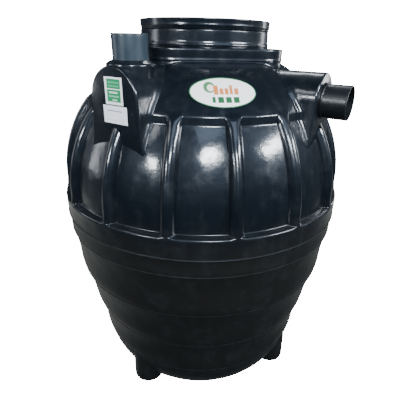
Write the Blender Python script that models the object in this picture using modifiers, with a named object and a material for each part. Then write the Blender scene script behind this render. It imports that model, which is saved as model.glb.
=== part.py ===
"""Upright round septic tank: stacked wall rings, ribbed dome, shoulder, turret, neck and lid, with an inlet box and an outlet box."""

import math

import bmesh
import bpy
from mathutils import Matrix

# Overall dimensions in metres. Z = 0 is the ground under the feet and the tank's axis is X = Y = 0.
STEPS = 48
WALL = 0.008
GAP = 0.0003
SHOULDER_GAP = 0.001

# Heights of the seams between the wall rings, and the outer radius at each.
DISH_BOTTOM_Z = 0.006
DISH_BOTTOM_RADIUS = 0.396
DISH_EDGE_RADIUS = 0.409
DISH_EDGE_Z = 0.010
DISH_SIDE_RISE = 0.013
SEAM_Z = (0.167, 0.337, 0.533, 0.725)
SEAM_RADIUS = (0.482, 0.516, 0.564, 0.592)
BAND_SWELL = 0.0032
BAND_SWELL_POWER = 0.66
BAND_ROWS = 6
LIP_OUT = 0.0025
LIP_HEIGHT = 0.005

# The belt, the widest part, with the mould's parting line round it.
BELT_RADIUS = 0.600
BELT_WIDEST_Z = 0.835
BELT_TOP_Z = 0.867
BELT_TOP_RADIUS = 0.5985
BELT_EDGE_HEIGHT = 0.008
PARTING_Z = 0.796
PARTING_RADIUS = 0.5985
PARTING_OUT = 0.0012
PARTING_HALF = 0.0025

# The dome: a narrow ledge, the pocket floor, and an upright band under the shoulder.
LEDGE_TOP_Z = 0.8765
LEDGE_TOP_RADIUS = 0.5735
FLOOR_RISE = 0.024
FLOOR_ROWS = 8
POCKET_TOP_Z = 1.209
POCKET_TOP_RADIUS = 0.4755
SHOULDER_Z = 1.2355
SHOULDER_RADIUS = 0.4735

# Ribs, one at each sixteenth of the circle, the first under the label. Each is a roll, widest at its foot.
RIB_COUNT = 16
RIB_BOTTOM_Z = 0.871
RIB_BOTTOM_RADIUS = 0.5935
RIB_TOP_Z = 1.228
RIB_TOP_RADIUS = 0.4855
RIB_RISE = 0.0335
RIB_END_Z = 1.248
RIB_HALF = 0.0265
RIB_PLACES = (-1.0, -0.8, -0.45, 0.0, 0.45, 0.8, 1.0)
RIB_FULLNESS = 0.75
RIB_LEAST = 0.002

# The shoulder runs from a circle to the turret's rounded square, and its upper edge drops at the square's corners.
SHOULDER_RISE = 0.018
SHOULDER_ROWS = 7
TURRET_Z = 1.385
TURRET_TOP_Z = 1.429
TURRET_HALF = 0.2645
TURRET_CORNER = 0.106
TURRET_ROUND = 0.007
CORNER_DROP = 0.022
CORNER_START = math.radians(25)

# The neck with a raised ring at its foot, and its lid.
NECK_RADIUS = 0.2535
NECK_TOP_Z = 1.487
NECK_RING_Z = 1.439
NECK_RING_OUT = 0.003
NECK_RING_HALF = 0.006
LID_RADIUS = 0.252
LID_TOP_Z = 1.5225
LID_ROUND = 0.004
LID_TAPER = 0.005
LID_OFFSET = (0.001, -0.002)

# Arched boxes: an upright half-round roof over sides that spread downwards, and a flat end face.
BOX_FACE = 0.513
BOX_INNER_END = 0.285
BOX_FOOT_Z = 1.040
BOX_SPREAD = 0.012
BOX_SPREAD_HEIGHT = 0.152
BOX_ARCH_STEPS = 12
BOX_EDGE_ROUND = 0.006
VOID_FOOT_Z = 1.160
VOID_INNER_END = 0.335
INLET_ANGLE = math.radians(-45)
INLET_HALF = 0.100
INLET_SPRING_Z = 1.277
OUTLET_ANGLE = math.radians(45)
OUTLET_HALF = 0.095
OUTLET_SPRING_Z = 1.267

# Pipes.
PIPE_WALL = 0.004
PIPE_STEPS = 32
INLET_PIPE_RADIUS = 0.057
INLET_PIPE_OUT = 0.423
INLET_PIPE_Z = (1.215, 1.463)
INLET_COLLAR_RADIUS = 0.079
INLET_COLLAR_Z = (1.300, 1.391)
INLET_COLLAR_ROUND = 0.009
OUTLET_PIPE_RADIUS = 0.059
OUTLET_PIPE_Z = 1.267
OUTLET_PIPE_OUT = (0.445, 0.603)
OUTLET_COLLAR_RADIUS = 0.0635
OUTLET_COLLAR_DEPTH = 0.009

# Feet: four round knobs under the dish's edge, flush with its first seam.
FOOT_OUT = 0.4166
FOOT_RADIUS = 0.0674
FOOT_TOP_Z = 0.160
FOOT_ROUND = 0.018
FOOT_STEPS = 24
FOOT_ANGLES = (46, 134, 226, 314)

# The clearing solids round the dome and the dish start and end inside the walls next to them.
ENVELOPE_FOOT_Z = 0.810

BODY_COLOUR = (0.012, 0.015, 0.019, 1.0)
BOWL_COLOUR = (0.016, 0.016, 0.014, 1.0)
PIPE_GREY = (0.070, 0.103, 0.125, 1.0)
PIPE_BLACK = (0.008, 0.009, 0.010, 1.0)


def clear_scene():
    for thing in list(bpy.data.objects):
        bpy.data.objects.remove(thing, do_unlink=True)


def new_collection(name, is_helper):
    group = bpy.data.collections.new(name)
    bpy.context.scene.collection.children.link(group)
    group.hide_render = is_helper
    return group


def principled(name, colour, roughness):
    material = bpy.data.materials.new(name)
    material.use_nodes = True
    shader = material.node_tree.nodes["Principled BSDF"]
    shader.inputs["Base Color"].default_value = colour
    shader.inputs["Roughness"].default_value = roughness
    shader.inputs["Metallic"].default_value = 0.0
    return material


def add_object(name, mesh, colour, roughness):
    """Puts a mesh in the tank's collection with a material of its own."""
    thing = bpy.data.objects.new(name, mesh)
    thing.data.materials.append(principled(name, colour, roughness))
    tank_pieces.objects.link(thing)
    return thing


def add_cutter(name, mesh):
    thing = bpy.data.objects.new(name, mesh)
    thing.display_type = "WIRE"
    thing.hide_render = True
    cutters.objects.link(thing)
    return thing


def soften(thing, degrees=35):
    thing.data.shade_smooth()
    thing.data.set_sharp_from_angle(angle=math.radians(degrees))


def cut(thing, cutter):
    boolean = thing.modifiers.new("cut_" + cutter.name, "BOOLEAN")
    boolean.operation = "DIFFERENCE"
    boolean.solver = "EXACT"
    boolean.object = cutter


def turned_mesh(name, profile):
    """A loop of (radius, height) points that goes down the outer side and up the inner one, open where it meets the axis."""
    mesh = bpy.data.meshes.new(name)
    points = [(radius, 0.0, height) for radius, height in profile]
    edges = [(i, (i + 1) % len(points)) for i in range(len(points))]
    edges = [(i, j) for i, j in edges if profile[i][0] > 0 or profile[j][0] > 0]
    mesh.from_pydata(points, edges, [])
    return mesh


def spin(thing, steps, flip=False):
    screw = thing.modifiers.new("turn", "SCREW")
    screw.axis = "Z"
    screw.angle = math.tau
    screw.steps = steps
    screw.render_steps = steps
    screw.use_merge_vertices = True
    screw.merge_threshold = 0.00001
    screw.use_normal_calculate = True
    screw.use_normal_flip = flip


def arc(start, end, rise, count):
    """Points of a circular arc from start to end that stands out by rise on the left of that way."""
    across, up = end[0] - start[0], end[1] - start[1]
    chord = math.hypot(across, up)
    radius = (chord * chord / 4 + rise * rise) / (2 * rise)
    half_turn = math.asin(chord / 2 / radius)
    points = []
    for i in range(count + 1):
        turn = half_turn * (2 * i / count - 1)
        along = radius * math.sin(turn) / chord + 0.5
        out = radius * math.cos(turn) - (radius - rise)
        points.append((start[0] + across * along - up / chord * out, start[1] + up * along + across / chord * out))
    return points


def inner_side(outer, thickness):
    """The line inside a wall: square to the outer line between its ends, and level with it at both."""
    inner = []
    for i, (radius, height) in enumerate(outer):
        before, after = outer[max(i - 1, 0)], outer[min(i + 1, len(outer) - 1)]
        across, up = after[0] - before[0], after[1] - before[1]
        length = math.hypot(across, up)
        if i in (0, len(outer) - 1):
            inner.append((radius - thickness * length / abs(up), height))
        else:
            inner.append((radius - thickness * abs(up) / length, height + thickness * across * math.copysign(1, up) / length))
    return inner


def wall_ring(name, outer, colour, roughness, trim=()):
    """A turned wall whose outer line runs upwards, with any trim points in place of the line's last one."""
    finished = outer[: len(outer) - 1] + list(trim) if trim else outer
    profile = list(reversed(finished)) + inner_side(outer, WALL)
    ring = add_object(name, turned_mesh(name, profile), colour, roughness)
    soften(ring)
    spin(ring, STEPS)
    return ring


def line_radius(line, height):
    """The radius at a height on a line of points that rises."""
    for (lower_radius, lower), (upper_radius, upper) in zip(line, line[1:]):
        if lower <= height <= upper:
            return lower_radius + (upper_radius - lower_radius) * (height - lower) / (upper - lower)
    return line[-1][0] if height > line[-1][1] else line[0][0]


def band_line(index):
    """Outer line of one bowl band: it swells above its lower seam and hollows below the upper one."""
    low, high = SEAM_Z[index], SEAM_Z[index + 1]
    points = []
    for i in range(BAND_ROWS + 1):
        part = i / BAND_ROWS
        radius = SEAM_RADIUS[index] + (SEAM_RADIUS[index + 1] - SEAM_RADIUS[index]) * part
        radius += BAND_SWELL * math.sin(math.tau * part**BAND_SWELL_POWER)
        points.append((radius, low + (high - low) * part))
    points[0] = (points[0][0], low + GAP)
    return points


def seam_lip(radius, height):
    """The raised line at a band's upper edge."""
    return [
        (radius, height - LIP_HEIGHT),
        (radius + LIP_OUT, height - LIP_HEIGHT / 2),
        (radius + LIP_OUT, height),
    ]


def square_radius(angle, half, corner):
    """Distance from the axis to a rounded square at an angle."""
    turn = abs((angle + math.pi / 4) % (math.pi / 2) - math.pi / 4)
    flat = half / math.cos(turn)
    if flat * math.sin(turn) <= half - corner:
        return flat
    middle = (half - corner) * math.sqrt(2)
    off = math.pi / 4 - turn
    return middle * math.cos(off) + math.sqrt(corner**2 - (middle * math.sin(off)) ** 2)


def column_angle(column):
    return math.tau * column / STEPS


def shoulder_line():
    """The shoulder's outer line over the middle of one of the turret's sides, upwards."""
    return list(reversed(arc((TURRET_HALF, TURRET_Z), (SHOULDER_RADIUS, SHOULDER_Z), SHOULDER_RISE, SHOULDER_ROWS)))


def corner_squeeze(angle):
    """The share of its full height that the shoulder rises at an angle."""
    turn = abs((angle + math.pi / 4) % (math.pi / 2) - math.pi / 4)
    part = min(max((turn - CORNER_START) / (math.pi / 4 - CORNER_START), 0.0), 1.0)
    return 1 - CORNER_DROP * part * part * (3 - 2 * part) / (TURRET_Z - SHOULDER_Z)


def shoulder_point(radius, height, angle):
    """Moves a point of the shoulder's line to where the shoulder is at an angle."""
    closeness = (SHOULDER_RADIUS - radius) / (SHOULDER_RADIUS - TURRET_HALF)
    square = square_radius(angle, TURRET_HALF, TURRET_CORNER)
    return radius + (square - TURRET_HALF) * closeness, SHOULDER_Z + (height - SHOULDER_Z) * corner_squeeze(angle)


def shoulder_rows(line):
    rows = []
    for radius, height in line:
        points = [shoulder_point(radius, height, column_angle(i)) for i in range(STEPS)]
        rows.append(([height for _, height in points], [radius for radius, _ in points]))
    return rows


def level_row(height, radii):
    return [height] * len(radii), radii


def lofted_mesh(name, rows, is_ring):
    """Skins a stack of rows, each a height and a radius per column. A ring closes on itself, a solid gets end caps."""
    mesh = bpy.data.meshes.new(name)
    shape = bmesh.new()
    loops = []
    for heights, radii in rows:
        turns = [math.tau * i / len(radii) for i in range(len(radii))]
        loops.append(
            [shape.verts.new((r * math.sin(t), -r * math.cos(t), h)) for t, r, h in zip(turns, radii, heights)]
        )
    pairs = list(zip(loops, loops[1:]))
    if is_ring:
        pairs.append((loops[-1], loops[0]))
    else:
        shape.faces.new(loops[0])
        shape.faces.new(loops[-1])
    for lower, upper in pairs:
        for i in range(len(lower)):
            j = (i + 1) % len(lower)
            shape.faces.new((lower[i], lower[j], upper[j], upper[i]))
    bmesh.ops.recalc_face_normals(shape, faces=shape.faces)
    shape.to_mesh(mesh)
    shape.free()
    return mesh


def facing(angle):
    """Turns a flat outline so that it stands upright, square to the radius at an angle from the front."""
    return Matrix.Rotation(angle, 4, "Z") @ Matrix.Rotation(math.pi / 2, 4, "X")


def extruded_mesh(name, outline, near, far, angle):
    """A prism of a flat outline, between two distances from the tank's axis."""
    curve = bpy.data.curves.new(name, "CURVE")
    curve.dimensions = "2D"
    curve.fill_mode = "BOTH"
    curve.extrude = (far - near) / 2
    spline = curve.splines.new("POLY")
    spline.points.add(len(outline) - 1)
    for point, (across, height) in zip(spline.points, outline):
        point.co = (across, height, 0.0, 1.0)
    spline.use_cyclic_u = True
    holder = bpy.data.objects.new(name, curve)
    mesh = bpy.data.meshes.new_from_object(holder)
    bpy.data.objects.remove(holder, do_unlink=True)
    shape = bmesh.new()
    shape.from_mesh(mesh)
    bmesh.ops.remove_doubles(shape, verts=shape.verts, dist=0.00001)
    bmesh.ops.dissolve_limit(shape, angle_limit=math.radians(1), verts=shape.verts, edges=shape.edges)
    bmesh.ops.recalc_face_normals(shape, faces=shape.faces)
    shape.to_mesh(mesh)
    shape.free()
    mesh.transform(facing(angle) @ Matrix.Translation((0.0, 0.0, (near + far) / 2)))
    return mesh


def arch_outline(half, spring_z, foot_z, inset):
    """A half-round roof on two sides that spread below the spring line, all drawn in by an inset."""
    radius = half - inset
    spread = BOX_SPREAD * (spring_z - foot_z) / BOX_SPREAD_HEIGHT
    outline = [(-radius - spread, foot_z), (radius + spread, foot_z)]
    for i in range(BOX_ARCH_STEPS + 1):
        turn = math.pi * i / BOX_ARCH_STEPS
        outline.append((radius * math.cos(turn), spring_z + radius * math.sin(turn)))
    return outline


def round_edges(thing, width, segments, degrees):
    bevel = thing.modifiers.new("round", "BEVEL")
    bevel.width = width
    bevel.segments = segments
    bevel.limit_method = "ANGLE"
    bevel.angle_limit = math.radians(degrees)


def tube(name, outer_radius, thickness, length, colour, roughness, steps=PIPE_STEPS):
    """A pipe along Z from 0 to its length, with a lightly rounded mouth."""
    edge = thickness / 4
    profile = [
        (outer_radius - edge, length),
        (outer_radius, length - edge),
        (outer_radius, edge),
        (outer_radius - edge, 0.0),
        (outer_radius - thickness + edge, 0.0),
        (outer_radius - thickness, edge),
        (outer_radius - thickness, length - edge),
        (outer_radius - thickness + edge, length),
    ]
    pipe = add_object(name, turned_mesh(name, profile), colour, roughness)
    soften(pipe)
    spin(pipe, steps)
    return pipe


def cylinder_mesh(name, radius, low, high, steps):
    mesh = bpy.data.meshes.new(name)
    shape = bmesh.new()
    bmesh.ops.create_cone(shape, cap_ends=True, segments=steps, radius1=radius, radius2=radius, depth=high - low)
    bmesh.ops.translate(shape, verts=shape.verts, vec=(0.0, 0.0, (low + high) / 2))
    shape.to_mesh(mesh)
    shape.free()
    return mesh


clear_scene()
tank_pieces = new_collection("septic_tank", False)
cutters = new_collection("cutters", True)

# Wall rings of the bowl, from the dish upwards.
dish_side = arc((SEAM_RADIUS[0], SEAM_Z[0]), (DISH_EDGE_RADIUS, DISH_EDGE_Z), DISH_SIDE_RISE, 6)
dish_outer = [(DISH_BOTTOM_RADIUS, DISH_BOTTOM_Z)] + list(reversed(dish_side))
dish_inner = [(radius - WALL, max(height, DISH_BOTTOM_Z + WALL)) for radius, height in dish_outer]
dish_loop = list(reversed(dish_outer)) + [(0.0, DISH_BOTTOM_Z), (0.0, DISH_BOTTOM_Z + WALL)] + dish_inner[1:]
base_dish = add_object("base_dish", turned_mesh("base_dish", dish_loop), BOWL_COLOUR, 0.55)
soften(base_dish)
spin(base_dish, STEPS, flip=True)

for band in range(len(SEAM_Z) - 1):
    line = band_line(band)
    wall_ring(f"bowl_band_{band + 1}", line, BOWL_COLOUR, 0.5, seam_lip(*line[-1]))

belt_line = [
    (SEAM_RADIUS[-1], SEAM_Z[-1] + GAP),
    (PARTING_RADIUS - PARTING_OUT, PARTING_Z - 3 * PARTING_HALF),
    (PARTING_RADIUS, PARTING_Z - PARTING_HALF),
    (PARTING_RADIUS + PARTING_OUT, PARTING_Z),
    (PARTING_RADIUS + PARTING_OUT, PARTING_Z + PARTING_HALF),
    (BELT_RADIUS, BELT_WIDEST_Z),
    (BELT_RADIUS, BELT_TOP_Z - BELT_EDGE_HEIGHT),
    (BELT_TOP_RADIUS, BELT_TOP_Z),
]
wall_ring("belt_band", belt_line, BOWL_COLOUR, 0.42)

# The dome's wall: ledge, pocket floor and the upright band under the shoulder.
floor_line = list(
    reversed(arc((POCKET_TOP_RADIUS, POCKET_TOP_Z), (LEDGE_TOP_RADIUS, LEDGE_TOP_Z), FLOOR_RISE, FLOOR_ROWS))
)
dome_line = [(BELT_TOP_RADIUS, BELT_TOP_Z + GAP)] + floor_line + [(SHOULDER_RADIUS, SHOULDER_Z)]
dome_shell = wall_ring("dome_shell", dome_line, BODY_COLOUR, 0.32)

# The shoulder, lofted from the dome's circle to the turret's rounded square.
upper_line = shoulder_line()
upper_line[0] = (SHOULDER_RADIUS, SHOULDER_Z + GAP)
under_line = inner_side(upper_line, WALL)
outer_rows = shoulder_rows(upper_line)
inner_rows = shoulder_rows(under_line[:-1])
top_heights, top_radii = outer_rows[-1]
turret_inner = [r - WALL for r in top_radii]
inner_rows.append(([height - WALL for height in top_heights], turret_inner))
inner_rows.append((top_heights, turret_inner))
shoulder = add_object(
    "shoulder", lofted_mesh("shoulder", outer_rows + list(reversed(inner_rows)), True), BODY_COLOUR, 0.3
)
soften(shoulder)

# The turret band with its flat deck, open under the neck.
turret_outer = [square_radius(column_angle(i), TURRET_HALF, TURRET_CORNER) for i in range(STEPS)]
turret_foot = [height + GAP for height in top_heights]
neck_bore = [NECK_RADIUS - WALL] * STEPS
turret_rows = [
    (turret_foot, turret_outer),
    level_row(TURRET_TOP_Z - TURRET_ROUND, turret_outer),
    level_row(TURRET_TOP_Z - TURRET_ROUND * 0.3, [r - TURRET_ROUND * 0.3 for r in turret_outer]),
    level_row(TURRET_TOP_Z, [r - TURRET_ROUND for r in turret_outer]),
    level_row(TURRET_TOP_Z, neck_bore),
    level_row(TURRET_TOP_Z - WALL, neck_bore),
    level_row(TURRET_TOP_Z - WALL, turret_inner),
    (turret_foot, turret_inner),
]
turret_band = add_object("turret_band", lofted_mesh("turret_band", turret_rows, True), BODY_COLOUR, 0.32)
soften(turret_band)

# The neck, with a raised ring above its foot, and the lid on it.
neck_line = [
    (NECK_RADIUS, TURRET_TOP_Z + GAP),
    (NECK_RADIUS, NECK_RING_Z - NECK_RING_HALF),
    (NECK_RADIUS + NECK_RING_OUT, NECK_RING_Z),
    (NECK_RADIUS, NECK_RING_Z + NECK_RING_HALF),
    (NECK_RADIUS, NECK_TOP_Z),
]
wall_ring("neck", neck_line, BODY_COLOUR, 0.35)

lid_loop = [
    (0.0, LID_TOP_Z),
    (LID_RADIUS - LID_ROUND, LID_TOP_Z),
    (LID_RADIUS - LID_ROUND * 0.3, LID_TOP_Z - LID_ROUND * 0.3),
    (LID_RADIUS, LID_TOP_Z - LID_ROUND),
    (LID_RADIUS - LID_TAPER, NECK_TOP_Z + GAP),
    (LID_RADIUS - 2 * WALL, NECK_TOP_Z + GAP),
    (LID_RADIUS - 2 * WALL, LID_TOP_Z - WALL),
    (0.0, LID_TOP_Z - WALL),
]
manhole_lid = add_object("manhole_lid", turned_mesh("manhole_lid", lid_loop), BODY_COLOUR, 0.4)
soften(manhole_lid)
spin(manhole_lid, STEPS)
manhole_lid.location = (LID_OFFSET[0], LID_OFFSET[1], 0.0)

# The tank's outer surface as one solid, a gap larger, that clears the boxes and feet from the walls.
belt_ring = [BELT_RADIUS + GAP] * STEPS
envelope_rows = [level_row(ENVELOPE_FOOT_Z, belt_ring), level_row(BELT_TOP_Z, belt_ring)]
envelope_rows += [level_row(height, [radius + GAP] * STEPS) for radius, height in dome_line[1:]]
for heights, radii in outer_rows[1:]:
    envelope_rows.append(([h + SHOULDER_GAP for h in heights], [r + SHOULDER_GAP for r in radii]))
envelope_rows.append(level_row(NECK_TOP_Z, [r + SHOULDER_GAP for r in turret_outer]))
tank_envelope = add_cutter("tank_envelope", lofted_mesh("tank_envelope", envelope_rows, False))


# The arched boxes: hollow, open to the tank, and standing on its outer surface.
def arched_box(name, angle, half, spring_z):
    outer = arch_outline(half, spring_z, BOX_FOOT_Z, 0.0)
    box = add_object(name, extruded_mesh(name, outer, BOX_INNER_END, BOX_FACE, angle), BODY_COLOUR, 0.3)
    round_edges(box, BOX_EDGE_ROUND, 2, 60)
    soften(box)
    void_outline = arch_outline(half, spring_z, VOID_FOOT_Z, WALL)
    void = add_cutter(
        name + "_void", extruded_mesh(name + "_void", void_outline, VOID_INNER_END, BOX_FACE - WALL, angle)
    )
    block = add_cutter(
        name + "_block",
        extruded_mesh(name + "_block", arch_outline(half, spring_z, BOX_FOOT_Z, -GAP), BOX_INNER_END, BOX_FACE + GAP, angle),
    )
    cut(box, tank_envelope)
    cut(box, void)
    cut(dome_shell, void)
    cut(shoulder, void)
    return box, block


inlet_box, inlet_block = arched_box("inlet_box", INLET_ANGLE, INLET_HALF, INLET_SPRING_Z)
outlet_box, outlet_block = arched_box("outlet_box", OUTLET_ANGLE, OUTLET_HALF, OUTLET_SPRING_Z)

# The inlet pipe stands in the inlet box's roof, in a low collar.
inlet_place = Matrix.Rotation(INLET_ANGLE, 4, "Z") @ Matrix.Translation((0.0, -INLET_PIPE_OUT, 0.0))
inlet_pipe = tube(
    "inlet_pipe", INLET_PIPE_RADIUS, PIPE_WALL, INLET_PIPE_Z[1] - INLET_PIPE_Z[0], PIPE_GREY, 0.35
)
inlet_pipe.data.transform(Matrix.Translation((0.0, 0.0, INLET_PIPE_Z[0])))
inlet_pipe.matrix_world = inlet_place
inlet_hole = add_cutter(
    "inlet_hole", cylinder_mesh("inlet_hole", INLET_PIPE_RADIUS + GAP, INLET_PIPE_Z[0], NECK_TOP_Z, PIPE_STEPS)
)
inlet_hole.matrix_world = inlet_place
cut(inlet_box, inlet_hole)
inlet_collar = add_object(
    "inlet_collar",
    cylinder_mesh("inlet_collar", INLET_COLLAR_RADIUS, INLET_COLLAR_Z[0], INLET_COLLAR_Z[1], PIPE_STEPS),
    BODY_COLOUR,
    0.35,
)
inlet_collar.matrix_world = inlet_place
round_edges(inlet_collar, INLET_COLLAR_ROUND, 2, 60)
cut(inlet_collar, inlet_block)
cut(inlet_collar, tank_envelope)
cut(inlet_collar, inlet_hole)
soften(inlet_collar)

# The outlet pipe runs level out of the outlet box's end face, in a collar.
outlet_turn = facing(OUTLET_ANGLE)
outlet_length = OUTLET_PIPE_OUT[1] - OUTLET_PIPE_OUT[0]
outlet_pipe = tube("outlet_pipe", OUTLET_PIPE_RADIUS, PIPE_WALL, outlet_length, PIPE_BLACK, 0.35)
outlet_pipe.matrix_world = outlet_turn @ Matrix.Translation((0.0, OUTLET_PIPE_Z, OUTLET_PIPE_OUT[0]))
outlet_hole = add_cutter(
    "outlet_hole",
    cylinder_mesh("outlet_hole", OUTLET_PIPE_RADIUS + GAP, OUTLET_PIPE_OUT[0], OUTLET_PIPE_OUT[1], PIPE_STEPS),
)
outlet_hole.matrix_world = outlet_turn @ Matrix.Translation((0.0, OUTLET_PIPE_Z, 0.0))
cut(outlet_box, outlet_hole)
outlet_collar = tube(
    "outlet_collar",
    OUTLET_COLLAR_RADIUS,
    OUTLET_COLLAR_RADIUS - OUTLET_PIPE_RADIUS - GAP,
    OUTLET_COLLAR_DEPTH,
    PIPE_BLACK,
    0.35,
)
outlet_collar.matrix_world = outlet_turn @ Matrix.Translation((0.0, OUTLET_PIPE_Z, BOX_FACE + GAP))

# Ribs: each stands on the dome's wall and runs out over the foot of the shoulder.
rib_front_line = list(
    reversed(arc((RIB_TOP_RADIUS, RIB_TOP_Z), (RIB_BOTTOM_RADIUS, RIB_BOTTOM_Z), RIB_RISE, 14))
)
rib_heights = [RIB_BOTTOM_Z, LEDGE_TOP_Z] + [height for _, height in floor_line[1:]] + [SHOULDER_Z, RIB_END_Z]


def rib_front(height):
    if height <= RIB_TOP_Z:
        return line_radius(rib_front_line, height)
    (lower_radius, lower), (upper_radius, upper) = rib_front_line[-2:]
    return upper_radius + (upper_radius - lower_radius) * (height - upper) / (upper - lower)


def rib_back(height, angle):
    """Radius just outside the wall behind the rib."""
    if height <= SHOULDER_Z:
        return line_radius(dome_line, height) + GAP
    first, second = [shoulder_point(*point, angle) for point in upper_line[:2]]
    return line_radius([first, second], height) + SHOULDER_GAP


def rib_mesh(name, angle):
    mesh = bpy.data.meshes.new(name)
    shape = bmesh.new()
    facet = math.tan(math.pi / STEPS)
    sections = []
    for height in rib_heights:
        back = rib_back(height, angle)
        depth = max(rib_front(height) - back, RIB_LEAST)
        outline = []
        for place in RIB_PLACES:
            side = back - RIB_HALF * facet * abs(place)
            outline.append((place * RIB_HALF, side + (back + depth - side) * (1 - place * place) ** RIB_FULLNESS))
        outline.append((0.0, back))
        sections.append([shape.verts.new((across, -out, height)) for across, out in outline])
    for lower, upper in zip(sections, sections[1:]):
        for i in range(len(lower)):
            j = (i + 1) % len(lower)
            shape.faces.new((lower[i], lower[j], upper[j], upper[i]))
    shape.faces.new(sections[0])
    shape.faces.new(sections[-1])
    bmesh.ops.recalc_face_normals(shape, faces=shape.faces)
    shape.to_mesh(mesh)
    shape.free()
    mesh.transform(Matrix.Rotation(angle, 4, "Z"))
    return mesh


for number in range(RIB_COUNT):
    angle = math.tau * number / RIB_COUNT
    name = f"dome_rib_{number + 1:02d}"
    rib = add_object(name, rib_mesh(name, angle), BODY_COLOUR, 0.32)
    soften(rib)
    if number == RIB_COUNT // 8:
        cut(rib, outlet_block)
    if number == RIB_COUNT - RIB_COUNT // 8:
        cut(rib, inlet_block)

# The feet stand under the dish's edge and up its side.
dish_line = [(DISH_BOTTOM_RADIUS + GAP, DISH_BOTTOM_Z - GAP)]
dish_line += [(radius + GAP, height) for radius, height in dish_outer[1:]]
dish_rows = [level_row(height, [radius] * STEPS) for radius, height in dish_line]
dish_rows.append(level_row(SEAM_Z[1], [SEAM_RADIUS[0] + GAP] * STEPS))
dish_envelope = add_cutter("dish_envelope", lofted_mesh("dish_envelope", dish_rows, False))
foot_loop = [
    (0.0, FOOT_TOP_Z),
    (FOOT_RADIUS - FOOT_ROUND, FOOT_TOP_Z),
    (FOOT_RADIUS - FOOT_ROUND * 0.3, FOOT_TOP_Z - FOOT_ROUND * 0.3),
    (FOOT_RADIUS, FOOT_TOP_Z - FOOT_ROUND),
    (FOOT_RADIUS, FOOT_ROUND),
    (FOOT_RADIUS - FOOT_ROUND * 0.3, FOOT_ROUND * 0.3),
    (FOOT_RADIUS - FOOT_ROUND, 0.0),
    (0.0, 0.0),
]
for number, degrees in enumerate(FOOT_ANGLES):
    name = f"foot_{number + 1}"
    foot = add_object(name, turned_mesh(name, foot_loop), BOWL_COLOUR, 0.5)
    soften(foot)
    spin(foot, FOOT_STEPS)
    turn = math.radians(degrees)
    foot.location = (FOOT_OUT * math.sin(turn), -FOOT_OUT * math.cos(turn), 0.0)
    cut(foot, dish_envelope)
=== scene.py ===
"""Upright round septic tank in rotationally moulded black polyethylene, with its neck, lid and pipe boxes."""

import math

import bmesh
import bpy
from mathutils import Matrix, Vector, noise


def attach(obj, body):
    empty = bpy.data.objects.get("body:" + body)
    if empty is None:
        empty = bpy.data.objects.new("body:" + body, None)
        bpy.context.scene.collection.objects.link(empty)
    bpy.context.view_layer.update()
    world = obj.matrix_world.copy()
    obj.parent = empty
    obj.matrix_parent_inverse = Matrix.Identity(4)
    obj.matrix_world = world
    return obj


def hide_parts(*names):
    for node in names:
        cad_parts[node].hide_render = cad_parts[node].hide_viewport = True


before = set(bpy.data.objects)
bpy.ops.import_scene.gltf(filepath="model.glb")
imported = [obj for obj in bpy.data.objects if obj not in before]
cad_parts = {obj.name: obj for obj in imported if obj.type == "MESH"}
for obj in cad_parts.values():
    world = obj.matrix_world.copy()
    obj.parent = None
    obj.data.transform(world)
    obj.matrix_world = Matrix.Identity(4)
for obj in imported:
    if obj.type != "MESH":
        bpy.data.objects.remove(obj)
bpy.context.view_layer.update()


# Camera, floor and light. The camera stands a little left of the label, just under the lid's top, and looks
# down on the tank. The floor is a pale glowing sweep, and the light comes from soft boxes all round and
# above.
def srgb(code):
    """A hex colour as linear light, with an alpha of 1."""
    parts = [int(code[i : i + 2], 16) / 255 for i in (1, 3, 5)]
    return [c / 12.92 if c <= 0.04045 else ((c + 0.055) / 1.055) ** 2.4 for c in parts] + [1.0]


def add_node(tree, kind, settings=(), links=()):
    """Adds a node, sets its options and socket values, and links its sockets from (node, output) pairs."""
    node = tree.nodes.new(kind)
    for key, value in dict(settings).items():
        if isinstance(key, str) and hasattr(node, key):
            setattr(node, key, value)
        else:
            node.inputs[key].default_value = value
    for key, (source, output) in dict(links).items():
        tree.links.new(source.outputs[output], node.inputs[key])
    return node


CAMERA_PLACE = Vector((-0.3119, -1.5400, 1.4503))
CAMERA_HEADING = math.radians(12.877)
CAMERA_DOWN = math.radians(24.085)
CAMERA_ROLL = math.radians(1.530)
LENS_MM = 30.43

camera_data = bpy.data.cameras.new("camera")
camera_data.lens = LENS_MM
camera_data.sensor_width = 36.0
camera_data.clip_end = 60.0
camera = bpy.data.objects.new("camera", camera_data)
camera.matrix_world = (
    Matrix.Translation(CAMERA_PLACE)
    @ Matrix.Rotation(-CAMERA_HEADING, 4, "Z")
    @ Matrix.Rotation(math.pi / 2 - CAMERA_DOWN, 4, "X")
    @ Matrix.Rotation(CAMERA_ROLL, 4, "Z")
)
bpy.context.scene.collection.objects.link(camera)
bpy.context.scene.camera = camera

# The floor runs up into a round wall far behind, so its edge never shows. It glows evenly, as a lit
# cyclorama does.
FLOOR_COLOUR = srgb("#f4f4f2")
FLOOR_GLOW = 30.0
FLOOR_RADIUS = 12.0
FLOOR_WALL = 7.0
FLOOR_BEND = 2.0
BEND_STEPS = 12

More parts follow.
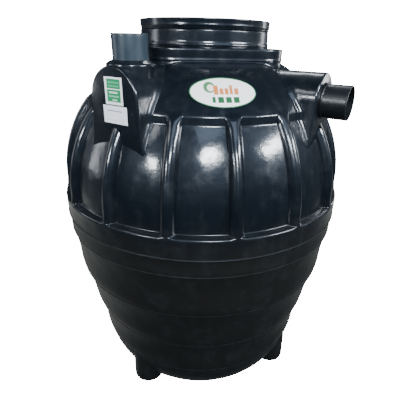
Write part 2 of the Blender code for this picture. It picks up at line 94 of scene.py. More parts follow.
floor_mesh = bpy.data.meshes.new("floor")
shape = bmesh.new()
sweep = [(0.0, 0.0), (FLOOR_RADIUS - FLOOR_BEND, 0.0)]
for step in range(1, BEND_STEPS + 1):
    turn = math.pi / 2 * step / BEND_STEPS
    out = FLOOR_RADIUS - FLOOR_BEND + FLOOR_BEND * math.sin(turn)
    sweep.append((out, FLOOR_BEND - FLOOR_BEND * math.cos(turn)))
sweep.append((FLOOR_RADIUS, FLOOR_WALL))
corners = [shape.verts.new((radius, 0.0, height)) for radius, height in sweep]
edges = [shape.edges.new(pair) for pair in zip(corners, corners[1:])]
bmesh.ops.spin(
    shape,
    geom=corners + edges,
    cent=(0.0, 0.0, 0.0),
    axis=(0.0, 0.0, 1.0),
    angle=math.tau,
    steps=96,
    use_merge=True,
)
bmesh.ops.remove_doubles(shape, verts=shape.verts, dist=0.0001)
bmesh.ops.recalc_face_normals(shape, faces=shape.faces)
shape.to_mesh(floor_mesh)
shape.free()
floor_mesh.shade_smooth()
floor = bpy.data.objects.new("floor", floor_mesh)
bpy.context.scene.collection.objects.link(floor)
floor_paint = bpy.data.materials.new("studio_floor_paint")
floor_paint.use_nodes = True
floor_shader = floor_paint.node_tree.nodes["Principled BSDF"]
floor_shader.inputs["Base Color"].default_value = FLOOR_COLOUR
floor_shader.inputs["Roughness"].default_value = 0.9
floor_shader.inputs["Emission Color"].default_value = FLOOR_COLOUR
floor_shader.inputs["Emission Strength"].default_value = FLOOR_GLOW
floor_mesh.materials.append(floor_paint)
floor.visible_diffuse = False
floor.visible_glossy = False
floor.visible_shadow = False

# The room round the tank: dim and bluish, with a pale ground that is light only behind the tank.
world = bpy.data.worlds.new("studio")
world.use_nodes = True
room = world.node_tree
towards = add_node(room, "ShaderNodeTexCoord")
heading = add_node(room, "ShaderNodeSeparateXYZ", links={"Vector": (towards, "Generated")})
behind = add_node(
    room,
    "ShaderNodeMapRange",
    {"interpolation_type": "SMOOTHSTEP", "From Min": 0.05, "From Max": 0.65},
    {"Value": (heading, "Y")},
)
ground = add_node(
    room,
    "ShaderNodeMapRange",
    {"interpolation_type": "SMOOTHSTEP", "From Min": -0.15, "From Max": -0.55},
    {"Value": (heading, "Z")},
)
lit_ground = add_node(
    room, "ShaderNodeMath", {"operation": "MULTIPLY"}, {0: (behind, "Result"), 1: (ground, "Result")}
)
room_light = add_node(
    room,
    "ShaderNodeMix",
    {"data_type": "RGBA", 6: srgb("#3c444d"), 7: srgb("#f3f6ef")},
    {"Factor": (lit_ground, "Value")},
)
room.links.new(room_light.outputs[2], room.nodes["Background"].inputs["Color"])
room.nodes["Background"].inputs["Strength"].default_value = 1.0
bpy.context.scene.world = world


def soft_box(name, azimuth, elevation, distance, size, watts, colour="#f4f9ff", aim=(0.0, 0.0, 1.05)):
    """A soft box that faces the tank's dome: azimuth 0 is in front of it, 90 at its right."""
    lamp = bpy.data.lights.new(name, "AREA")
    lamp.shape = "RECTANGLE"
    lamp.size, lamp.size_y = size
    lamp.energy = watts
    lamp.color = srgb(colour)[:3]
    holder = bpy.data.objects.new(name, lamp)
    a, e = math.radians(azimuth), math.radians(elevation)
    away = Vector((math.sin(a) * math.cos(e), -math.cos(a) * math.cos(e), math.sin(e)))
    holder.location = Vector(aim) + away * distance
    holder.rotation_mode = "QUATERNION"
    holder.rotation_quaternion = away.to_track_quat("Z", "Y")
    bpy.context.scene.collection.objects.link(holder)


soft_box("front_window", -4.0, 28.0, 4.2, (0.85, 0.62), 190.0)
soft_box("right_window", 52.0, 25.0, 4.2, (1.60, 0.45), 205.0)
soft_box("left_window", -52.0, 18.0, 4.2, (0.70, 0.45), 75.0)
soft_box("over_window", 10.0, 50.0, 4.5, (3.5, 1.2), 40.0, "#cfe4ff")
soft_box("back_window", 168.0, 50.0, 4.5, (3.0, 0.8), 60.0)
soft_box("left_high", -68.0, 38.0, 4.2, (1.4, 0.8), 25.0)
soft_box("left_side", -105.0, 12.0, 4.5, (0.8, 2.5), 30.0)
soft_box("right_side", 110.0, 12.0, 4.5, (0.8, 2.5), 38.0)


# Bowl: the lower half of the moulding, from its flat bottom up to the mould's parting line. Black
# polyethylene, moulded in one piece with the rest; each of its bands swells above one seam line and hollows
# under the next.
WALL = 0.008
STEPS_ROUND = 256
DISH_BOTTOM_Z = 0.006
DISH_BOTTOM_RADIUS = 0.396
DISH_EDGE = (0.409, 0.010)
DISH_SIDE_RISE = 0.013
DISH_CORNER_RADIUS = 0.405
SEAM_Z = (0.167, 0.337, 0.533, 0.725)
SEAM_RADIUS = (0.482, 0.516, 0.564, 0.592)
BAND_SWELL = 0.0032
BAND_SWELL_POWER = 0.66
TOP_BAND_SWELL = 0.001
BAND_ROWS = 40
TOP_BAND_ROWS = 16
LIP_OUT = 0.0024
LIP_HALF = 0.0028
LIP_NEAR = 0.009
PARTING_Z = 0.796
PARTING_RADIUS = 0.5985
SAG = 0.0007
SAG_SCALE = 7.0
INNER_FLOOR_Z = 0.02


def arc(start, end, rise, count):
    """Points of a circular arc from start to end that stands out by rise on the left of that way."""
    across, up = end[0] - start[0], end[1] - start[1]
    chord = math.hypot(across, up)
    radius = (chord * chord / 4 + rise * rise) / (2 * rise)
    half_turn = math.asin(chord / 2 / radius)
    points = []
    for i in range(count + 1):
        turn = half_turn * (2 * i / count - 1)
        along = radius * math.sin(turn) / chord + 0.5
        out = radius * math.cos(turn) - (radius - rise)
        points.append(
            (start[0] + across * along - up / chord * out, start[1] + up * along + across / chord * out)
        )
    return points


def bend(start, corner, end, count):
    """A rounded corner between two straight runs."""
    points = []
    for i in range(count + 1):
        t = i / count
        points.append(
            tuple((1 - t) ** 2 * a + 2 * t * (1 - t) * b + t**2 * c for a, b, c in zip(start, corner, end))
        )
    return points


def run(start, end, count):
    """Even points on a straight run, without its first."""
    return [tuple(a + (b - a) * i / count for a, b in zip(start, end)) for i in range(1, count + 1)]


def turned(profile, steps, closed=False):
    """A bmesh turned round the tank's axis from (radius, height) points, its poles and seam closed."""
    turned_shape = bmesh.new()
    corners = [turned_shape.verts.new((radius, 0.0, height)) for radius, height in profile]
    edges = [turned_shape.edges.new(pair) for pair in zip(corners, corners[1:])]
    if closed:
        edges.append(turned_shape.edges.new((corners[-1], corners[0])))
    bmesh.ops.spin(
        turned_shape,
        geom=corners + edges,
        cent=(0.0, 0.0, 0.0),
        axis=(0.0, 0.0, 1.0),
        angle=math.tau,
        steps=steps,
        use_merge=True,
    )
    bmesh.ops.remove_doubles(turned_shape, verts=turned_shape.verts, dist=0.00002)
    bmesh.ops.recalc_face_normals(turned_shape, faces=turned_shape.faces)
    return turned_shape


def finish_piece(name, piece_shape, material, nodes, sharp=40):
    """Makes the piece's object, smooth where it is round, and hands it over in place of its CAD nodes."""
    mesh = bpy.data.meshes.new(name)
    piece_shape.to_mesh(mesh)
    piece_shape.free()
    mesh.shade_smooth()
    mesh.set_sharp_from_angle(angle=math.radians(sharp))
    mesh.materials.append(material)
    piece = bpy.data.objects.new(name, mesh)
    bpy.context.scene.collection.objects.link(piece)
    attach(piece, "root")
    if nodes:
        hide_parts(*nodes)
    return piece


def sag(shape_to_sag, amount):
    """Moves a moulded wall in and out a little, as it cools unevenly in its mould."""
    for vert in shape_to_sag.verts:
        radius = math.hypot(vert.co.x, vert.co.y)
        if radius > 0.01:
            push = amount * (noise.noise(vert.co * SAG_SCALE) - 0.6)
            vert.co.x *= 1 + push / radius
            vert.co.y *= 1 + push / radius


def moulded_polyethylene():
    """Rotationally moulded black polyethylene. The dome, from a polished mould, has a glossy skin over a hazy
    body, with wiped clouds in the gloss. The bowl is dull and has hardly a skin."""
    material = bpy.data.materials.new("rotomoulded_black_polyethylene")
    material.use_nodes = True
    tree = material.node_tree
    shader = tree.nodes["Principled BSDF"]
    # Polyethylene's index. Its roughness is some 0.1 where the mould was polished, and 0.5 where it was
    # left dull.
    shader.inputs["IOR"].default_value = 1.51
    shader.inputs["Coat IOR"].default_value = 1.51
    shader.inputs["Specular Tint"].default_value = srgb("#c3d8ee")
    place = add_node(tree, "ShaderNodeTexCoord")
    height = add_node(tree, "ShaderNodeSeparateXYZ", links={"Vector": (place, "Object")})
    bowl = add_node(
        tree,
        "ShaderNodeMapRange",
        {"interpolation_type": "SMOOTHSTEP", "From Min": 0.93, "From Max": 0.78},
        {"Value": (height, "Z")},
    )
    # Cloudy wiped patches, some 75 mm across, and upright runs 25 mm wide where water dried: they haze the
    # gloss.
    cloud = add_node(
        tree,
        "ShaderNodeTexNoise",
        {"Scale": 13.0, "Detail": 5.0, "Roughness": 0.62, "Distortion": 0.6},
        {"Vector": (place, "Object")},
    )
    stretch = add_node(
        tree, "ShaderNodeMapping", {"Scale": (1.0, 1.0, 0.12)}, {"Vector": (place, "Object")}
    )
    runs = add_node(
        tree,
        "ShaderNodeTexNoise",
        {"Scale": 38.0, "Detail": 3.0, "Roughness": 0.5},
        {"Vector": (stretch, "Vector")},
    )
    wiped = add_node(
        tree,
        "ShaderNodeMath",
        {"operation": "MULTIPLY_ADD", 1: 0.45},
        {0: (runs, "Fac"), 2: (cloud, "Fac")},
    )
    haze = add_node(
        tree,
        "ShaderNodeMapRange",
        {"interpolation_type": "SMOOTHSTEP", "From Min": 0.64, "From Max": 1.02},
        {"Value": (wiped, "Value")},
    )
    clean = add_node(
        tree,
        "ShaderNodeMix",
        {"data_type": "RGBA", 6: srgb("#080d13"), 7: srgb("#141310")},
        {"Factor": (bowl, "Result")},
    )
    dust_share = add_node(
        tree, "ShaderNodeMapRange", {"To Min": 0.0, "To Max": 0.016}, {"Value": (haze, "Result")}
    )
    colour = add_node(
        tree,
        "ShaderNodeMix",
        {"data_type": "RGBA", 7: srgb("#8f979b")},
        {"Factor": (dust_share, "Result"), 6: (clean, 2)},
    )
    tree.links.new(colour.outputs[2], shader.inputs["Base Color"])
    rough = add_node(
        tree, "ShaderNodeMapRange", {"To Min": 0.40, "To Max": 0.52}, {"Value": (bowl, "Result")}
    )
    uneven = add_node(
        tree,
        "ShaderNodeMath",
        {"operation": "MULTIPLY_ADD", 1: 0.04},
        {0: (haze, "Result"), 2: (rough, "Result")},
    )
    tree.links.new(uneven.outputs[0], shader.inputs["Roughness"])
    # Under a skin of the same plastic the body has hardly a surface of its own to reflect from.
    inner = add_node(
        tree, "ShaderNodeMapRange", {"To Min": 0.22, "To Max": 0.42}, {"Value": (bowl, "Result")}
    )
    tree.links.new(inner.outputs["Result"], shader.inputs["Specular IOR Level"])
    skin = add_node(
        tree, "ShaderNodeMapRange", {"To Min": 0.95, "To Max": 0.0}, {"Value": (bowl, "Result")}
    )
    tree.links.new(skin.outputs["Result"], shader.inputs["Coat Weight"])
    skin_rough = add_node(
        tree, "ShaderNodeMapRange", {"To Min": 0.12, "To Max": 0.30}, {"Value": (haze, "Result")}
    )
    tree.links.new(skin_rough.outputs["Result"], shader.inputs["Coat Roughness"])
    # The skin's fine peel, some 3 mm in the real one and drawn 14 mm coarse to show, on slow waves of 90
    # mm.
    peel = add_node(
        tree, "ShaderNodeTexNoise", {"Scale": 70.0, "Detail": 2.0}, {"Vector": (place, "Object")}
    )
    dents = add_node(
        tree, "ShaderNodeTexNoise", {"Scale": 11.0, "Detail": 1.0}, {"Vector": (place, "Object")}
    )
    relief = add_node(
        tree, "ShaderNodeMath", {"operation": "MULTIPLY_ADD", 1: 9.0}, {0: (dents, "Fac"), 2: (peel, "Fac")}
    )
    bump = add_node(
        tree, "ShaderNodeBump", {"Strength": 0.25, "Distance": 0.0012}, {"Height": (relief, "Value")}
    )
    tree.links.new(bump.outputs["Normal"], shader.inputs["Normal"])
    tree.links.new(bump.outputs["Normal"], shader.inputs["Coat Normal"])
    return material


polyethylene = moulded_polyethylene()

bowl_line = [(0.0, DISH_BOTTOM_Z)] + run((0.0, DISH_BOTTOM_Z), (DISH_BOTTOM_RADIUS, DISH_BOTTOM_Z), 6)
dish_side = list(reversed(arc((SEAM_RADIUS[0], SEAM_Z[0]), DISH_EDGE, DISH_SIDE_RISE, 30)))
bowl_line += bend(bowl_line[-1], (DISH_CORNER_RADIUS, DISH_BOTTOM_Z), dish_side[1], 6)[1:]
bowl_line += dish_side[2:]
for band in range(len(SEAM_Z)):
    low, high = SEAM_Z[band], (SEAM_Z + (PARTING_Z,))[band + 1]
    low_radius, high_radius = SEAM_RADIUS[band], (SEAM_RADIUS + (PARTING_RADIUS,))[band + 1]
    is_top = band == len(SEAM_Z) - 1
    swell = TOP_BAND_SWELL if is_top else BAND_SWELL
    rows = TOP_BAND_ROWS if is_top else BAND_ROWS
    for i in range(1, rows + 1):
        part = i / rows
        radius = low_radius + (high_radius - low_radius) * part
        radius += swell * math.sin(math.tau * part**BAND_SWELL_POWER)
        bowl_line.append((radius, low + (high - low) * part))


def with_lips(line, heights):
    """The line with finer rows at each seam, and a small rounded lip there."""
    finer = []
    for (r0, z0), (r1, z1) in zip(line, line[1:]):
        near = any(abs((z0 + z1) / 2 - seam) < LIP_NEAR for seam in heights)
        parts = 4 if near else 1
        for i in range(parts):
            t = i / parts
            finer.append((r0 + (r1 - r0) * t, z0 + (z1 - z0) * t))
    finer.append(line[-1])
    return [
        (r + sum(LIP_OUT * math.exp(-(((z - seam + LIP_HALF) / LIP_HALF) ** 2)) for seam in heights), z)
        for r, z in finer
    ]


bowl_line = with_lips(bowl_line, SEAM_Z + (PARTING_Z,))
bowl_top = bowl_line[-1]
inner_line = [(max(r - WALL, 0.0), z) for r, z in bowl_line[::8] if z > INNER_FLOOR_Z]
bowl_profile = bowl_line + [(bowl_top[0] - WALL, bowl_top[1])] + list(reversed(inner_line))
bowl_profile += [(DISH_BOTTOM_RADIUS, DISH_BOTTOM_Z + WALL), (0.0, DISH_BOTTOM_Z + WALL)]
bowl = turned(bowl_profile, STEPS_ROUND)
sag(bowl, SAG)
finish_piece(
    "bowl",
    bowl,
    polyethylene,
    ("base_dish", "bowl_band_1", "bowl_band_2", "bowl_band_3"),
)


# Upper shell: belt, dome with sixteen ribs, shoulder, turret and neck, one moulding with the bowl. It is
# turned as a plain wall first; then its ribs are pushed out, and its turret is squared, as the mould's
# panels do.
RIBS = 16
RIB_COLUMNS = (0, 0.2, 0.4, 0.55, 0.68, 0.79, 0.88, 0.95, 1.0, 1.07)
POCKET_COLUMNS = (0.06, 0.15, 0.27, 0.42, 0.60, 0.80, 1.0)
HALF_COLUMNS = len(RIB_COLUMNS) + len(POCKET_COLUMNS) - 1
BELT_RADIUS = 0.600
BELT_WIDEST = (0.5998, 0.832)
BELT_TOP = (0.5995, 0.853)
LEDGE_BEND = ((0.5995, 0.8635), (0.5915, 0.8734))
LEDGE_FOOT = (0.5795, 0.8755)
LEDGE = ((0.5990, 0.8720), (0.5735, 0.8765))
FLOOR_RISE = 0.024
POCKET_TOP = (0.4755, 1.2090)
RIM = (0.4735, 1.2355)
RIM_ROUND = 0.0035
SHOULDER_RISE = 0.018
TURRET_HALF = 0.2645
TURRET_CORNER = 0.106
CORNER_DROP = 0.022
TURRET_FOOT_Z = 1.385
BEAD_Z = 1.3885
TURRET_TOP_Z = 1.429
TURRET_ROUND = 0.008
BEAD_ROOT = TURRET_HALF - 0.0015
INNER_NECK_Z = 1.370
NECK_RADIUS = 0.2535
NECK_SIDE = NECK_RADIUS - 0.001
NECK_RING = (NECK_RADIUS + 0.004, TURRET_TOP_Z + 0.010)
NECK_RING_HALF = 0.006
NECK_TOP_Z = 1.487
RIB_FOOT = ((0.5992, 0.872), (0.5960, 0.890))
RIB_LOW = (0.5945, 0.905)
RIB_HIGH = (0.4855, 1.228)
RIB_RISE = 0.029
RIB_END_Z = 1.248
RIB_FADE_Z = 1.226
RIB_HALF = 0.0265
RIB_FULLNESS = 0.75

belt_line = [(PARTING_RADIUS, PARTING_Z)] + run((PARTING_RADIUS, PARTING_Z), BELT_WIDEST, 5)
belt_line += run(BELT_WIDEST, BELT_TOP, 2)
belt_line = with_lips(belt_line, (PARTING_Z,))
ledge_line = run(BELT_TOP, LEDGE_BEND[0], 2)
ledge_line += bend(LEDGE_BEND[0], LEDGE[0], LEDGE_BEND[1], 8)[1:]
ledge_line += run(ledge_line[-1], LEDGE_FOOT, 2)
floor_line = list(reversed(arc(POCKET_TOP, LEDGE[1], FLOOR_RISE, 80)))
ledge_line += bend(LEDGE_FOOT, LEDGE[1], floor_line[1], 6)[1:]
pocket_line = floor_line[2:-1:2]
rim_line = bend(floor_line[-2], POCKET_TOP, (POCKET_TOP[0] - 0.0003, POCKET_TOP[1] + 0.004), 6)[1:]
rim_line += run(rim_line[-1], (RIM[0], RIM[1] - RIM_ROUND), 4)
shoulder_arc = arc((TURRET_HALF, TURRET_FOOT_Z), RIM, SHOULDER_RISE, 60)
shoulder_arc = list(reversed(shoulder_arc))
rim_line += bend(rim_line[-1], RIM, shoulder_arc[1], 6)[1:]
shoulder_line = shoulder_arc[2:14] + shoulder_arc[14:-1:2]
turret_line = bend(shoulder_arc[-2], (BEAD_ROOT, TURRET_FOOT_Z), (BEAD_ROOT, BEAD_Z - 0.001), 4)[1:]
turret_line += run(turret_line[-1], (BEAD_ROOT, BEAD_Z), 1)
turret_line += bend(
    turret_line[-1], (TURRET_HALF + 0.0012, BEAD_Z + 0.0025), (BEAD_ROOT, BEAD_Z + 0.0055), 5
)[1:]
turret_line += run(turret_line[-1], (TURRET_HALF, TURRET_TOP_Z - TURRET_ROUND), 4)
turret_line += bend(
    (TURRET_HALF, TURRET_TOP_Z - TURRET_ROUND),
    (TURRET_HALF, TURRET_TOP_Z),
    (TURRET_HALF - TURRET_ROUND + 0.001, TURRET_TOP_Z),
    6,
)[1:]
neck_line = [(NECK_RADIUS, TURRET_TOP_Z - 0.001)]
neck_line += run(neck_line[0], (NECK_RADIUS, NECK_RING[1] - NECK_RING_HALF), 1)
neck_line += bend(neck_line[-1], NECK_RING, (NECK_SIDE, NECK_RING[1] + NECK_RING_HALF), 6)[1:]
neck_line += run(neck_line[-1], (NECK_SIDE, NECK_TOP_Z - 0.004), 5)
neck_line += bend(neck_line[-1], (NECK_SIDE, NECK_TOP_Z), (NECK_RADIUS - 0.004, NECK_TOP_Z), 3)[1:]
plain_line = belt_line + ledge_line + pocket_line + rim_line + shoulder_line + turret_line + neck_line
inner_wall = [
    (NECK_RADIUS - WALL, NECK_TOP_Z),
    (NECK_RADIUS - WALL, TURRET_TOP_Z - WALL),
    (NECK_RADIUS - WALL, INNER_NECK_Z),
]
inner_wall += [(r - WALL * 0.7, z - WALL * 0.7) for r, z in reversed(shoulder_arc[1:-2:10])]
inner_wall += [(RIM[0] - WALL, RIM[1]), (POCKET_TOP[0] - WALL, POCKET_TOP[1])]
inner_wall += [(r - WALL, z) for r, z in reversed(floor_line[1:-1:7])]
inner_wall += [(BELT_RADIUS - 2 * WALL, 0.86), (PARTING_RADIUS - WALL, PARTING_Z)]

rib_line = bend(BELT_TOP, *RIB_FOOT, 8)
rib_line += list(reversed(arc(RIB_HIGH, RIB_LOW, RIB_RISE, 40)))
rib_line.append((RIB_HIGH[0] - 0.012, RIB_END_Z + 0.002))


def radius_at(line, height):
    """The radius of a rising line at a height."""
    low, high = 0, len(line) - 1
    while high - low > 1:
        middle = (low + high) // 2
        if line[middle][1] <= height:
            low = middle
        else:
            high = middle
    (r0, z0), (r1, z1) = line[low], line[high]
    return r0 + (r1 - r0) * min(max((height - z0) / (z1 - z0), 0.0), 1.0) if z1 > z0 else r1


def smooth(low, high, value):
    """0 below low, 1 above high, and a smooth rise between; the other way round if low is above high."""
    t = min(max((value - low) / (high - low), 0.0), 1.0)
    return t * t * (3 - 2 * t)


def rib_push(angle, height, radius):
    """How far a rib stands out of the plain wall at an angle from the front and a height."""
    if not BELT_TOP[1] < height < RIB_END_Z:
        return 0.0
    sector = math.tau / RIBS
    aside = abs((angle + sector / 2) % sector - sector / 2) * radius
    across = max(1 - (aside / RIB_HALF) ** 2, 0.0) ** RIB_FULLNESS
    fade = 1 - smooth(RIB_FADE_Z, RIB_END_Z, height)
    return max(radius_at(rib_line, height) - radius, 0.0) * across * fade


def square_radius(angle):
    """Distance from the axis to the turret's rounded square."""
    turn = abs((angle + math.pi / 4) % (math.pi / 2) - math.pi / 4)
    flat = TURRET_HALF / math.cos(turn)
    if flat * math.sin(turn) <= TURRET_HALF - TURRET_CORNER:
        return flat
    middle = (TURRET_HALF - TURRET_CORNER) * math.sqrt(2)
    off = math.pi / 4 - turn
    return middle * math.cos(off) + math.sqrt(TURRET_CORNER**2 - (middle * math.sin(off)) ** 2)


def corner_squeeze(angle):
    """How much lower the slope is at an angle than in the middle of the turret's sides, as a factor."""
    turn = abs((angle + math.pi / 4) % (math.pi / 2) - math.pi / 4)
    return 1 - CORNER_DROP * smooth(0.55, 1.0, turn / (math.pi / 4)) / (TURRET_FOOT_Z - RIM[1])


def lowered(angle, height):
    """The slope's height at an angle: lower at the corners, where the wall under the bead stretches."""
    if height <= RIM[1] or height >= BEAD_Z:
        return height
    squeeze = corner_squeeze(angle)
    if height <= TURRET_FOOT_Z:
        return RIM[1] + (height - RIM[1]) * squeeze
    foot = RIM[1] + (TURRET_FOOT_Z - RIM[1]) * squeeze
    return BEAD_Z - (BEAD_Z - height) * (BEAD_Z - foot) / (BEAD_Z - TURRET_FOOT_Z)


def squareness(radius, height):
    """How square the wall is at a point: 0 up to the shoulder's rim, 1 on the turret, 0 again on the neck."""
    if height < RIM[1] or height > TURRET_TOP_Z + 0.0001:
        return 0.0
    if height > TURRET_FOOT_Z:
        return 1.0 if radius > NECK_RADIUS + 0.0005 else 0.0
    return min(max((RIM[0] - radius) / (RIM[0] - TURRET_HALF), 0.0), 1.0)


# The outer wall up to the turret's round, to look up where it stands at a height.
wall_line = belt_line + ledge_line + pocket_line + rim_line + shoulder_line + turret_line[:-6]


def shell_radius(angle, height):
    """The finished wall's radius at an angle and a height below the turret's top."""
    if height > RIM[1]:
        raised = RIM[1] + (height - RIM[1]) / corner_squeeze(angle)
        height = raised if raised < TURRET_FOOT_Z else max(height, TURRET_FOOT_Z)
    radius = radius_at(wall_line, height)
    radius += rib_push(angle, height, radius)
    return radius + (square_radius(angle) - TURRET_HALF) * squareness(radius_at(wall_line, height), height)


def column_angle(column, radius):
    """A mesh column's angle: the columns keep to the ribs' own width and share out the pockets."""
    sector, place = divmod(column, 2 * HALF_COLUMNS)
    step = min(place, 2 * HALF_COLUMNS - place)
    half_sector = math.pi / RIBS * radius
    last = RIB_COLUMNS[-1] * RIB_HALF
    if step < len(RIB_COLUMNS):
        aside = RIB_COLUMNS[step] * RIB_HALF
    else:
        aside = last + (half_sector - last) * POCKET_COLUMNS[step - len(RIB_COLUMNS)]
    turn = aside / radius
    return sector * math.tau / RIBS + (turn if place <= HALF_COLUMNS else math.tau / RIBS - turn)


columns = RIBS * 2 * HALF_COLUMNS
upper = turned(plain_line + inner_wall, columns, closed=True)
for vert in upper.verts:
    radius, height = math.hypot(vert.co.x, vert.co.y), vert.co.z
    column = round(math.atan2(vert.co.x, -vert.co.y) / math.tau * columns) % columns
    angle = column_angle(column, radius)
    outer = radius_at(wall_line, height) if height < TURRET_TOP_Z else NECK_RADIUS
    is_inner = radius < outer - WALL / 2
    finished = radius
    if not is_inner:
        finished += rib_push(angle, height, radius)
        finished += (square_radius(angle) - TURRET_HALF) * squareness(radius, height)
    elif RIM[1] < height < INNER_NECK_Z - 0.005:
        finished += (square_radius(angle) - TURRET_HALF) * squareness(
            radius + WALL * 0.7, height + WALL * 0.7
        )
    vert.co = (finished * math.sin(angle), -finished * math.cos(angle), lowered(angle, height))
bmesh.ops.recalc_face_normals(upper, faces=upper.faces)
sag(upper, SAG)
shell_nodes = ["belt_band", "dome_shell", "shoulder", "turret_band", "neck"]
shell_nodes += [f"dome_rib_{i + 1:02d}" for i in range(RIBS)]
finish_piece("upper_shell", upper, polyethylene, shell_nodes, 55)


# Feet: four round knobs moulded out of the dish's edge, in the same polyethylene. Their tops run up inside
# the bowl's wall.
FOOT_OUT = 0.4166
FOOT_RADIUS = 0.0674
FOOT_TOP_Z = 0.160
FOOT_ROUND = 0.018
FOOT_TAPER = 0.002
FOOT_ANGLES = (46, 134, 226, 314)

foot_side = [(0.0, 0.0)] + run((0.0, 0.0), (FOOT_RADIUS - FOOT_ROUND, 0.0), 3)
foot_side += bend(foot_side[-1], (FOOT_RADIUS, 0.0), (FOOT_RADIUS, FOOT_ROUND), 8)[1:]
foot_side += run(foot_side[-1], (FOOT_RADIUS - FOOT_TAPER, FOOT_TOP_Z - FOOT_ROUND), 16)
foot_side += bend(
    foot_side[-1], (FOOT_RADIUS - FOOT_TAPER, FOOT_TOP_Z), (FOOT_RADIUS - FOOT_ROUND, FOOT_TOP_Z), 8
)[1:]
foot_side += [(0.0, FOOT_TOP_Z)]
feet = bmesh.new()
for degrees in FOOT_ANGLES:
    turn = math.radians(degrees)
    foot = turned(foot_side, 48)
    bmesh.ops.translate(
        foot, verts=foot.verts, vec=(FOOT_OUT * math.sin(turn), -FOOT_OUT * math.cos(turn), 0.0)
    )
    one_foot = bpy.data.meshes.new("one_foot")
    foot.to_mesh(one_foot)
    foot.free()
    feet.from_mesh(one_foot)
    bpy.data.meshes.remove(one_foot)
finish_piece("feet", feet, polyethylene, [f"foot_{i + 1}" for i in range(len(FOOT_ANGLES))])


# Lid: a shallow flared cover that rests on the neck, a little askew. Moulded polyethylene, with a faint
# roll round the foot of its rim and a flat plate that is lowest in the middle.
LID_RADIUS = 0.2545
LID_TOP_Z = 1.5225
LID_FOOT_Z = NECK_TOP_Z + 0.0005
LID_ROUND = 0.004
LID_TAPER = 0.0035
LID_BULGE = 0.0016
LID_BULGE_Z = LID_FOOT_Z + 0.012
LID_BULGE_HALF = 0.005
LID_DISH = (0.12, 0.003)
LID_MIDDLE_DROP = 0.004
LID_PLATE = 0.012
LID_RIM_WALL = 0.017
LID_PLACE = (0.001, -0.002)

lid_line = [(0.0, LID_TOP_Z - LID_MIDDLE_DROP), (LID_DISH[0], LID_TOP_Z - LID_DISH[1])]
lid_line += [(LID_RADIUS - 0.03, LID_TOP_Z)]
lid_line += bend(
    (LID_RADIUS - LID_ROUND, LID_TOP_Z), (LID_RADIUS, LID_TOP_Z), (LID_RADIUS, LID_TOP_Z - LID_ROUND), 8
)
lid_line += [
    (radius + LID_BULGE * math.exp(-(((z - LID_BULGE_Z) / LID_BULGE_HALF) ** 2)), z)
    for radius, z in run(lid_line[-1], (LID_RADIUS - LID_TAPER, LID_FOOT_Z + 0.003), 24)
]
lid_line += bend(
    lid_line[-1], (LID_RADIUS - LID_TAPER, LID_FOOT_Z), (LID_RADIUS - LID_TAPER - 0.003, LID_FOOT_Z), 4
)[1:]
lid_line += [(LID_RADIUS - LID_RIM_WALL, LID_FOOT_Z), (LID_RADIUS - LID_RIM_WALL, LID_TOP_Z - LID_PLATE)]
lid_line += [(0.0, LID_TOP_Z - LID_PLATE)]
lid = turned(list(reversed(lid_line)), 160)
bmesh.ops.translate(lid, verts=lid.verts, vec=(LID_PLACE[0], LID_PLACE[1], 0.0))
finish_piece("manhole_lid_skin", lid, polyethylene, ["manhole_lid"])


# Inlet and outlet boxes: arched housings that stand out of the shoulder, one moulding with it, so their
# sides and roof run into the dome in a small hollow curve. Each has a flat end face with rounded edges.
BOX_FACE = 0.513
BOX_INNER_END = 0.285
BOX_FOOT_Z = 1.070
BOX_SPREAD = 0.012
BOX_SPREAD_HEIGHT = 0.152
BOX_EDGE = 0.007
BOX_FILLET = 0.020
FILLET_EDGE = 0.0012
BOX_ROW = 0.0024
ARCH_STEPS = 90
PROBE = 0.004
INLET_ARCH = (0.100, 1.277)
OUTLET_ARCH = (0.095, 1.267)
INLET_ANGLE = math.radians(-45)
OUTLET_ANGLE = math.radians(45)


def facing(angle):
    """Places a shape drawn flat (across, up, out) upright, so that it faces away from the tank's axis."""
    return Matrix.Rotation(angle, 4, "Z") @ Matrix.Rotation(math.pi / 2, 4, "X")


def clearance(point):
    """How far a point stands off the shell's wall, square to it."""
    bearing = math.atan2(point.x, -point.y)
    below, above = shell_radius(bearing, point.z - PROBE), shell_radius(bearing, point.z + PROBE)
    lean = math.cos(math.atan2(below - above, 2 * PROBE))
    return (math.hypot(point.x, point.y) - shell_radius(bearing, point.z)) * lean, lean


